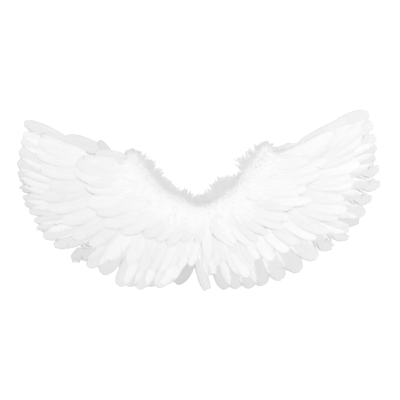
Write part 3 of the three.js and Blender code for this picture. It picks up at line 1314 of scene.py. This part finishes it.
@dataclass(frozen=True)
class FeltFinish:
    """White wool felt with short matted fibres. fibre is the contrast between them."""

    tone: float = 0.73
    fibre: float = 0.05
    roughness: float = 0.95
    specular: float = 0.1
    sheen: float = 0.2

    STRETCH = (1.0, 0.35, 1.0)
    FIBRE_SCALE = 900.0
    FIBRE_SHARE = 0.7
    PATCH_SCALE = 35.0
    PATCH_SHARE = 0.3
    BUMP = {"Strength": 0.4, "Distance": 0.0006}

    def material(self) -> Material:
        """Makes the material.

        Returns:
            The material.
        """
        material, graph, shader = new_material("wool_felt", self.roughness, self.specular, self.sheen)
        place = graph.add("ShaderNodeTexCoord", {}).outputs["Object"]
        fibres = graph.noise(graph.vector("MULTIPLY", place, self.STRETCH), self.FIBRE_SCALE, 4.0)
        patches = graph.noise(place, self.PATCH_SCALE, 3.0)
        mixed = graph.plus(graph.times(fibres, self.FIBRE_SHARE), graph.times(patches, self.PATCH_SHARE))
        swing = graph.times(graph.minus(mixed, 0.5), 2 * self.fibre)
        bump = {**self.BUMP, "Height": fibres}
        graph.link(graph.grey(graph.plus(swing, self.tone)), shader.inputs["Base Color"])
        graph.link(graph.add("ShaderNodeBump", bump).outputs[0], shader.inputs["Normal"])
        return material


@dataclass(frozen=True)
class FloorFinish:
    """A matt white studio floor."""

    tone: float = 0.97
    roughness: float = 1.0
    specular: float = 0.0
    sheen: float = 0.0

    def material(self) -> Material:
        """Makes the material.

        Returns:
            The material.
        """
        material, _, shader = new_material("studio_floor", self.roughness, self.specular, self.sheen)
        shader.inputs["Base Color"].default_value = (self.tone, self.tone, self.tone, 1.0)
        return material


def new_material(name: str, roughness: float, specular: float, sheen: float) -> tuple[Material, Graph, Node]:
    """Starts a material.

    Args:
        name: The material's name.
        roughness: How matt it is.
        specular: How strongly it mirrors.
        sheen: How much soft fuzz lights its edges.

    Returns:
        The material, the graph of its nodes and its surface shader.
    """
    material = bpy.data.materials.new(name)
    material.use_nodes = True
    shader = material.node_tree.nodes["Principled BSDF"]
    shader.inputs["Roughness"].default_value = roughness
    shader.inputs["Specular IOR Level"].default_value = specular
    shader.inputs["Sheen Weight"].default_value = sheen
    return material, Graph(material.node_tree), shader


@dataclass
class DownTrim:
    """The trim of down plumes along the neckline.

    Plumes stand all round a line over the short quills, in fans: each fan's share of the plumes, its lowest
    and highest angle from the feather side, and its stretch. Plumes that stand up keep top_share of their
    length. All lean together in clumps, and splay out towards both ends. A plume has fine barbs on both
    sides, whose normals keep own_normal of their own way and else look up. half_height and CORE_SIDES are
    those of the solid's core, whose middle the line follows.

    PARTS gives each piece's stretch of the line's length. ENDS adds a fan of end plumes at each end: the way
    along the line, the share of the line and the lowest angle. LOOSE is how far the border between backed and
    loose down strays. Backed down reaches FEATHER_MARGIN over the feathers, and FLARE further along the line
    at both ends, which END_ROUND rounds off.
    """

    stations: Sequence[Sequence[float]] = TRIM_STATIONS
    half_height: float = 10.0
    plumes: int = 1500
    clumps: int = 52
    end_plumes: int = 70
    barbs: int = 34
    barb_width: float = 0.55
    fans: tuple[tuple[float, float, float, float], ...] = (
        (0.2, 2.0, 36.0, 1.05),
        (0.2, 2.0, 30.0, 1.45),
        (0.15, 36.0, 140.0, 0.75),
        (0.45, 140.0, 178.0, 1.0),
    )
    top_share: float = 0.6
    splay: float = 1.6
    splay_power: int = 9
    own_normal: float = 0.3
    seed: int = 11

    PARTS = (("left", 0.0, 0.34), ("centre", 0.34, 0.66), ("right", 0.66, 1.0))
    ENDS = {"left": (-1.0, 0.0, -15.0), "right": (1.0, 1.0, -45.0)}
    CORE_SIDES = 8
    LOOSE = 4.0
    END_ROUND = 15.0
    END_REACH = 24.0
    END_TURN = 110.0
    END_RISE = (-0.2, 0.4)
    END_SPREAD = (0.7, 1.0)
    END_ANGLES = (-60.0, -20.0, 20.0, 60.0)
    FEATHER_MARGIN = 90.0
    FLARE = 50.0
    OUTLINE_STEPS = 60
    PLUME_LEAN = 0.2
    CLUMP_LEAN = 0.1
    PLUME_REACH = (0.74, 1.0)
    CLUMP_REACH = (0.84, 1.2)
    ROOT_SHARE = 0.12
    TIP_SHARE = 0.86
    BOW_RISE = (0.05, 0.2)
    TWIST = 0.5
    BARB_STRAY = 0.55
    BARB_ANGLE = (28.0, 62.0)
    ANGLE_FADE = 0.8
    BARB_LENGTH = (0.26, 0.46)
    LENGTH_FADE = 0.6
    BARB_DROOP = 0.12
    BARB_BEND = 0.12
    BARB_LEAD = 0.08
    BARB_GIRTH = (0.7, 1.2)
    CURL = 5.0
    CURL_SCALE = 60.0
    UP = np.array([0.0, 0.0, 1.0])

    def __post_init__(self) -> None:
        """Works out the trim's line and its reach."""
        table = np.array(self.stations, float)
        self.path = Spline(*table[:, :2])
        self.reach = Spline(*table[:, 2:4])
        self.backed = Spline(*table[:, 4:])
        self.height = PANEL_THICKNESS + SEAT_GAP + self.half_height * math.cos(math.pi / self.CORE_SIDES)

    def bright_outline(self) -> np.ndarray:
        """Works out the part that is backed by more down, which is painted lighter.

        Returns:
            Its outline in plan, in metres.
        """
        line = self.path.sample(self.OUTLINE_STEPS)
        along = self.path.headings(np.linspace(0.0, 1.0, self.OUTLINE_STEPS))
        notch_side = left_of(along)
        near = line + notch_side * self.backed.sample(self.OUTLINE_STEPS)
        far = line - notch_side * self.FEATHER_MARGIN
        far[0] -= along[0] * self.FLARE
        far[-1] += along[-1] * self.FLARE
        turn = np.radians(self.END_ANGLES)[:, None]
        first = line[0] + self.END_ROUND * (notch_side[0] * np.sin(turn) - along[0] * np.cos(turn))
        last = line[-1] + self.END_ROUND * (notch_side[-1] * np.sin(turn) + along[-1] * np.cos(turn))
        return np.concatenate([first, near[2:-2], last[::-1], far[::-1]]) * MM

    def columns(self, side: str, low: float, high: float, seed: int) -> dict[str, np.ndarray]:
        """Works out the shafts of all barbs in one stretch of the trim.

        Args:
            side: The stretch's name.
            low: Share of the line's length where the stretch starts.
            high: Share of the line's length where it ends.
            seed: For the random draws.

        Returns:
            The attributes that the down tree reads, one row a barb.
        """
        draw = np.random.default_rng(seed)
        count = round(self.plumes * (high - low))
        length = low + (high - low) * (np.arange(count) + draw.uniform(0.0, 1.0, count)) / count
        share = self.path.shares_at(length)
        flat = np.zeros(count)
        centre = np.column_stack([self.path.points_at(share), flat + self.height])
        along = np.column_stack([self.path.headings(share), flat])
        feather_side = np.column_stack([-left_of(along), flat])
        shares, lows, highs, stretch = np.array(self.fans).T
        fan = draw.choice(len(shares), count, p=shares)
        turn = np.radians(draw.uniform(lows[fan], highs[fan]))[:, None]
        clump = (share * self.clumps).astype(int)
        lean = draw.normal(0.0, self.PLUME_LEAN, count)
        lean += draw.normal(0.0, self.CLUMP_LEAN, self.clumps + 1)[clump]
        lean += self.splay * draw.uniform(0.0, 1.0, count) * (2 * share - 1) ** self.splay_power
        direction = unit(feather_side * np.cos(turn) + self.UP * np.sin(turn) + along * lean[:, None])
        sides = self.reach.points_at(share)
        reach = np.where(turn[:, 0] < np.pi / 2, sides[:, 0], sides[:, 1]) * stretch[fan]
        reach *= 1.0 - (1.0 - self.top_share) * np.clip(np.sin(turn[:, 0]), 0.0, 1.0)
        plume_reach = draw.uniform(*self.PLUME_REACH, count)
        reach *= plume_reach * draw.uniform(*self.CLUMP_REACH, self.clumps + 1)[clump]
        root = centre - direction * reach[:, None] * self.ROOT_SHARE
        tip = centre + direction * reach[:, None] * self.TIP_SHARE
        if side in self.ENDS:
            outwards, place, least = self.ENDS[side]
            ahead = np.array([*self.path.heading(place), 0.0]) * outwards
            across = np.array([-ahead[1], ahead[0], 0.0]) * outwards
            turn = np.radians(draw.uniform(least, self.END_TURN, (self.end_plumes, 1)))
            rise = self.UP * draw.uniform(*self.END_RISE, turn.shape)
            fan_out = ahead * np.cos(turn) + across * np.sin(turn) + rise
            middle = np.array([*self.path.at(place), self.height])
            root = np.vstack([root, np.broadcast_to(middle, fan_out.shape)])
            end_reach = self.END_REACH * draw.uniform(*self.END_SPREAD, turn.shape)
            tip = np.vstack([tip, middle + fan_out * end_reach])
            reach = np.append(reach, np.full(self.end_plumes, self.END_REACH))
        bow = (root + tip) / 2 + self.UP * (reach * draw.uniform(*self.BOW_RISE, len(reach)))[:, None]
        return self._barb_columns(root, bow, tip, reach, draw)

    def _barb_columns(
        self, root: np.ndarray, bow: np.ndarray, tip: np.ndarray, reach: np.ndarray, draw: np.random.Generator
    ) -> dict[str, np.ndarray]:
        """Works out the barbs on both sides of the plumes' shafts.

        Args:
            root: Where each plume starts.
            bow: The point that bends it.
            tip: Where it ends.
            reach: Its length.
            draw: The stretch's random draws.

        Returns:
            The attributes that the down tree reads, one row a barb.
        """
        size = (len(root), self.barbs)
        total = len(root) * self.barbs
        share = (np.arange(self.barbs) + draw.uniform(0.0, 1.0, size)) / self.barbs
        foot, heading = along_bow(root[:, None], bow[:, None], tip[:, None], share[:, :, None])
        flat = unit(np.cross(heading, self.UP + draw.normal(0.0, self.TWIST, (len(root), 1, 3))))
        normal = np.cross(flat, heading)
        way = np.where(draw.uniform(size=size) < 0.5, 0.0, np.pi)
        way += draw.normal(0.0, self.BARB_STRAY, size)
        out = flat * np.cos(way)[:, :, None] + normal * np.sin(way)[:, :, None]
        angle = draw.uniform(*self.BARB_ANGLE, size) * (1.0 - self.ANGLE_FADE * share**2)
        spread = np.radians(angle)[:, :, None]
        direction = unit(heading * np.cos(spread) + out * np.sin(spread))
        length = reach[:, None] * draw.uniform(*self.BARB_LENGTH, size) * (1.0 - self.LENGTH_FADE * share**2)
        end = foot + direction * length[:, :, None]
        end[:, :, 2] -= self.BARB_DROOP * length
        bend = unit(draw.normal(size=(*size, 3))) * (length * self.BARB_BEND)[:, :, None]
        middle = (foot + end) / 2 + bend + heading * (self.BARB_LEAD * length)[:, :, None]
        middle[:, :, 2] = np.maximum(middle[:, :, 2], QUILL_HEIGHT)
        end[:, :, 2] = np.maximum(end[:, :, 2], QUILL_HEIGHT)
        return {
            "root": foot.reshape(total, 3) * MM,
            "bow": middle.reshape(total, 3) * MM,
            "tip": end.reshape(total, 3) * MM,
            "half_width": draw.uniform(*self.BARB_GIRTH, total) * self.barb_width / 2 * MM,
            "variant": np.zeros(total, np.int32),
            "shift_x": draw.normal(0.0, self.LOOSE, total) * MM,
            "shift_y": draw.normal(0.0, self.LOOSE, total) * MM,
        }

    @staticmethod
    def barb_blank(name: str) -> Mesh:
        """Makes one barb, a flat three-sided spike along x.

        Args:
            name: The mesh's name.

        Returns:
            The barb's mesh.
        """
        ring = ((0.0, 0.2), (-0.87, -0.1), (0.87, -0.1))
        girths = ((0.0, 0.8), (0.55, 1.0))
        points = [(x, girth * y, girth * z) for x, girth in girths for y, z in ring]
        points.append((1.0, 0.0, 0.0))
        faces = [(2, 1, 0)]
        for i in range(3):
            after = (i + 1) % 3
            faces += [(i, after, after + 3, i + 3), (i + 3, after + 3, 6)]
        mesh = new_mesh(name, points, faces)
        mesh.shade_smooth()
        return mesh

    def build(self, tree: NodeTree, material: Material) -> list[Object]:
        """Grows the trim in three stretches.

        Args:
            tree: The down barb tree.
            material: The down's finish.

        Returns:
            One piece a stretch.
        """
        blanks = blank_collection("down_barb", [self.barb_blank("down_barb")])
        curl = {"Curl": self.CURL * MM, "Curl Scale": self.CURL_SCALE}
        values = {"Blanks": blanks, "Material": material, **curl}
        pieces = []
        for number, (side, low, high) in enumerate(self.PARTS):
            name = f"down_trim_{side}"
            columns = self.columns(side, low, high, self.seed + number)
            piece = grow(name, point_mesh(name, columns), tree, values)
            # Loose down lets light through, so it casts no shadow and throws no light on what lies round it
            piece.visible_shadow = False
            piece.visible_diffuse = False
            pieces.append(piece)
        drop_collection(blanks)
        return pieces

    def shade(self, piece: Object, finish: DownFinish) -> None:
        """Stores each vertex's tone with painted shade: down with nothing behind it is painted greyer, and
        darker towards the bottom.

        Args:
            piece: One stretch of the trim.
            finish: The down's finish.
        """
        mesh = piece.data
        layers = LayerMap()
        layers.add(self.bright_outline())
        stores = [mesh.attributes[key].data for key in ("shift_x", "shift_y")]
        shift = np.hstack([read(store, "value", 1, np.float32) for store in stores])
        places = read(mesh.vertices, "co", 3, float)
        # Painted shade: loose down with nothing behind it gets the greyer tone
        backed = layers.count(places[:, :2] + shift) > 0
        # Painted shade: darker towards the bottom of the trim
        depth = np.clip(1.0 - places[:, 2] / (2 * self.height * MM), 0.0, 1.0)
        tone = np.where(backed, finish.full, finish.thin) - finish.bottom_shade * depth
        tone += finish.fluff * shift[:, 0] / (self.LOOSE * MM)
        store_numbers(mesh, "tone", np.clip(tone, 0.0, 1.0))
        self._soften(mesh)

    def _soften(self, mesh: Mesh) -> None:
        """Turns the barbs' normals towards the sky, so that they are lit as one soft mass."""
        own = read(mesh.vertex_normals, "vector", 3, np.float32) * self.own_normal
        mesh.normals_split_custom_set_from_vertices(unit(own + self.UP * (1.0 - self.own_normal)).tolist())


@dataclass
class FeltPanel:
    """The felt panel under the quills, cut by margins round the outer quill lines and the trim's line."""

    flight_margin: float = 12.0
    trim_margin: float = 12.0
    edge_margin: float = 10.0
    rim_steps: int = 40
    neck_steps: int = 60
    edge_round: float = 0.8

    ROUND_STEP = 0.3
    SHARP_ANGLE = 35.0

    def outline(self) -> np.ndarray:
        """Works out the cut in plan from the quill lines and the trim's line.

        Returns:
            The cut's corners, anticlockwise, in millimetres.
        """
        table = np.array(TRIM_STATIONS, float)
        left = LEFT_FLIGHT_QUILLS.beside(self.flight_margin, self.rim_steps)
        right = RIGHT_FLIGHT_QUILLS.beside(-self.flight_margin, self.rim_steps)[::-1]
        neck = Spline(*table[:, :2]).beside(-self.trim_margin, self.neck_steps)[::-1]
        lift = np.array([0.0, self.edge_margin])
        return np.concatenate([[left[0] + lift], left, right, [right[-1] + lift], neck])

    def area(self) -> float:
        """Returns the cut's area in square metres."""
        x, y = (self.outline() * MM).T
        return abs(float(np.sum(x * np.roll(y, -1) - y * np.roll(x, -1)))) / 2

    def build(self, material: Material) -> Object:
        """Makes the panel with its cut edge rounded.

        Args:
            material: The felt's finish.

        Returns:
            The panel.
        """
        plan = self.outline() * MM
        ahead = unit(np.roll(plan, -1, axis=0) - np.roll(plan, 1, axis=0))
        inwards = left_of(ahead)
        rounded = self.edge_round * MM
        thickness = PANEL_THICKNESS * MM
        step = self.ROUND_STEP * rounded
        levels = ((rounded, 0.0), (step, step), (0.0, rounded))
        levels += tuple((inset, thickness - z) for inset, z in levels[::-1])
        rings = [np.column_stack([plan + inwards * inset, np.full(len(plan), z)]) for inset, z in levels]
        count = len(plan)
        faces = [tuple(range(count - 1, -1, -1)), tuple(range(count * (len(rings) - 1), count * len(rings)))]
        for ring in range(len(rings) - 1):
            for i in range(count):
                a, b = ring * count + i, ring * count + (i + 1) % count
                faces.append((a, b, b + count, a + count))
        mesh = new_mesh("felt_panel", np.concatenate(rings).tolist(), faces)
        mesh.materials.append(material)
        mesh.shade_smooth()
        mesh.set_sharp_from_angle(angle=math.radians(self.SHARP_ANGLE))
        return new_object("felt_sheet", mesh)


@dataclass
class Studio:
    """The floor, the soft light and the camera straight above."""

    view_centre: tuple[float, float] = (-6.6, 33.0)
    view_width: float = 880.0
    lens: float = 100.0
    sensor: float = 36.0
    floor_side: float = 12.0
    sky: float = 0.32
    key_power: float = 218.0
    key_size: float = 4.0
    key_place: tuple[float, float, float] = (0.7, 0.6, 4.2)
    far_end: float = 50.0

    def build(self) -> None:
        """Makes the floor, the lights and the camera."""
        self._floor()
        self._lights()
        self._camera()

    def _floor(self) -> None:
        """Makes the floor, with its surface at height 0."""
        half = self.floor_side / 2
        corners = [(-half, -half, 0.0), (half, -half, 0.0), (half, half, 0.0), (-half, half, 0.0)]
        mesh = new_mesh("studio_floor", corners, [(0, 1, 2, 3)])
        mesh.materials.append(FloorFinish().material())
        floor = new_object("studio_floor", mesh)
        floor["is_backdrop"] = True

    def _lights(self) -> None:
        """Makes an even white surround and a large soft light from the upper right."""
        world = bpy.data.worlds.new("surround")
        world.use_nodes = True
        background = world.node_tree.nodes["Background"]
        background.inputs["Color"].default_value = (1.0, 1.0, 1.0, 1.0)
        background.inputs["Strength"].default_value = self.sky
        scene = bpy.context.scene
        scene.world = world
        scene.view_settings.view_transform = "Standard"
        light = bpy.data.lights.new("key_light", "AREA")
        light.energy = self.key_power
        light.size = self.key_size
        key = new_object("key_light", light)
        key.location = self.key_place
        key.rotation_euler = (-Vector(self.key_place)).to_track_quat("-Z", "Y").to_euler()

    def _camera(self) -> None:
        """Makes the camera straight above the wings."""
        camera = bpy.data.cameras.new("camera")
        camera.lens = self.lens
        camera.sensor_width = self.sensor
        camera.clip_end = self.far_end
        eye = new_object("camera", camera)
        distance = self.view_width * MM * self.lens / self.sensor
        eye.location = (self.view_centre[0] * MM, self.view_centre[1] * MM, distance)
        bpy.context.scene.camera = eye


# What single rows have of their own, and then all rows from the panel up
LEFT_MIDDLE = {"count": 15, "widths": (43.0, 30.0), "backed": True}
LEFT_SHORT = {"count": 12, "widths": (46.0, 24.0), "backed": True}
RIGHT_MIDDLE = {"count": 20, "widths": (34.0, 28.0), "scatter": 0.15, "ruffle": 0.8, "backed": True}
RIGHT_SHORT = {"count": 17, "widths": (33.0, 22.0), "scatter": 0.15, "ruffle": 0.8, "backed": True}
ROWS = (
    FeatherRow(
        "left_flight",
        Level.FLIGHT,
        LEFT_FLIGHT_QUILLS,
        LEFT_FLIGHT,
        broaden=(0.88, 1.18),
        tones={
            **dict(enumerate((0.03, 0.08, 0.06, 0.04, 0.02, 0.0, -0.01, -0.01, 0.01, 0.0, 0.03, 0.03))),
            **{13: 0.03, 18: 0.03, 20: 0.03, 22: 0.04, 24: -0.1},
        },
        frayed=(6, 7, 12, 15),
    ),
    FeatherRow(
        "right_flight",
        Level.FLIGHT,
        RIGHT_FLIGHT_QUILLS,
        RIGHT_FLIGHT,
        broaden=(1.14, 1.24),
        tones={
            **dict(enumerate((0.03, 0.05, 0.04, 0.005, 0.005, 0.01, 0.01, 0.0))),
            **{17: -0.03, 18: -0.02, 19: -0.04},
        },
        frayed=(5, 6, 7, 11, 12),
    ),
    FeatherRow("tail", Level.TAIL, Spline((-8, -57), (7, -56)), TAIL_FLIGHT, tone=0.03),
    FeatherRow(
        "left_edge",
        Level.EDGE,
        Spline((-202, 126), (-194, 124), (-146, 115)),
        ((-306, 168, 32, 0.06), (-229, 164, 18, 0.0), (-238, 135, 29, 0.03)),
        flat=True,
        stacked_light_share=0.15,
        tone=0.05,
        tones={1: -0.03, 2: 0.025},
    ),
    FeatherRow(
        "right_edge",
        Level.EDGE,
        Spline((172, 129), (150, 125)),
        ((314, 207, 28, 0.01), (196, 157, 16, 0.02)),
        flat=True,
        stacked_light_share=0.35,
        tone=-0.01,
    ),
    FeatherRow("left_middle", Level.MIDDLE, LEFT_MIDDLE_QUILLS, tips=LEFT_MIDDLE_TIPS, **LEFT_MIDDLE),
    FeatherRow("right_middle", Level.MIDDLE, RIGHT_MIDDLE_QUILLS, tips=RIGHT_MIDDLE_TIPS, **RIGHT_MIDDLE),
    FeatherRow("middle_centre", Level.MIDDLE, CENTRE_QUILLS, CENTRE_FAN, lift=0.4, backed=True),
    FeatherRow("left_short", Level.SHORT, LEFT_SHORT_QUILLS, tips=LEFT_SHORT_TIPS, **LEFT_SHORT),
    FeatherRow("right_short", Level.SHORT, RIGHT_SHORT_QUILLS, tips=RIGHT_SHORT_TIPS, **RIGHT_SHORT),
    FeatherRow(
        "short_centre",
        Level.SHORT,
        Spline((-20, 5), (-8, 3), (5, 3)),
        ((-35, -66, 25), (-15, -69, 22), (11, -98, 27, 0.0)),
        flat=True,
        lift=-0.8,
    ),
)

# Rows whose solid is a single feather
SINGLE_ROWS = ("left_edge", "right_edge", "middle_centre", "short_centre")

# Blanks of each level, and the distance between the levels' seeds
BLANKS_EACH = 6
SEED_STEP = 100


def node_of(row: FeatherRow) -> str:
    """Returns the name of the solid that a row stands for."""
    return f"{row.name}_feather" if row.name in SINGLE_ROWS else f"{row.name}_feathers"


def feather_blanks() -> dict[Level, Collection]:
    """Cuts the feathers that the rows pick from.

    Returns:
        Each level's blanks, of which the last is frayed.
    """
    blanks = {}
    for number, (level, form) in enumerate(FORMS.items()):
        name = f"{level.value}_blank"
        meshes = []
        for variant in range(BLANKS_EACH):
            blank = FeatherBlank(form, SEED_STEP * number + variant, variant == BLANKS_EACH - 1)
            meshes.append(blank.mesh(f"{name}_{variant:02d}"))
        blanks[level] = blank_collection(name, meshes)
    return blanks


def main() -> None:
    """Builds the wings around the frame, piece by piece, and the studio round them."""
    logging.basicConfig(level=logging.INFO, format="%(message)s")
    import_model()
    cad_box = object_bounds()
    Studio().build()
    layers = LayerMap()
    panel = FeltPanel()
    layers.add(panel.outline() * MM)
    for row in ROWS:
        row.place()
        for place in row.places:
            layers.add(place.outline(FORMS[row.level]))
    sheet = panel.build(FeltFinish().material())
    dress(sheet, "felt_panel")
    panel.area()
    feather = FeatherFinish()
    feather_material = feather.material()
    tree = feather_row_tree()
    blanks = feather_blanks()
    for number, row in enumerate(ROWS):
        piece = row.build(tree, blanks[row.level], feather_material, number)
        row.shade(piece, layers, feather, number)
        dress(piece, node_of(row))
    for collection in blanks.values():
        drop_collection(collection)
    trim = DownTrim()
    down = DownFinish()
    for piece in trim.build(down_barb_tree(), down.material()):
        trim.shade(piece, down)
        dress(piece, "down_trim")
    boxes = {"cad": cad_box, "visual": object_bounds()}
    {name: [list(corner) for corner in box] for name, box in boxes.items()}


def dress(piece: Object, node: str) -> None:
    """Hands a finished piece to the frame and reports it.

    Args:
        piece: The piece, with its place in its mesh.
        node: The solid that the piece stands for.
    """
    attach(piece, BODY)
    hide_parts(node)
    LOG.info("%s: %d faces for %s", piece.name, len(piece.data.polygons), node)


if __name__ == "__main__":
    main()
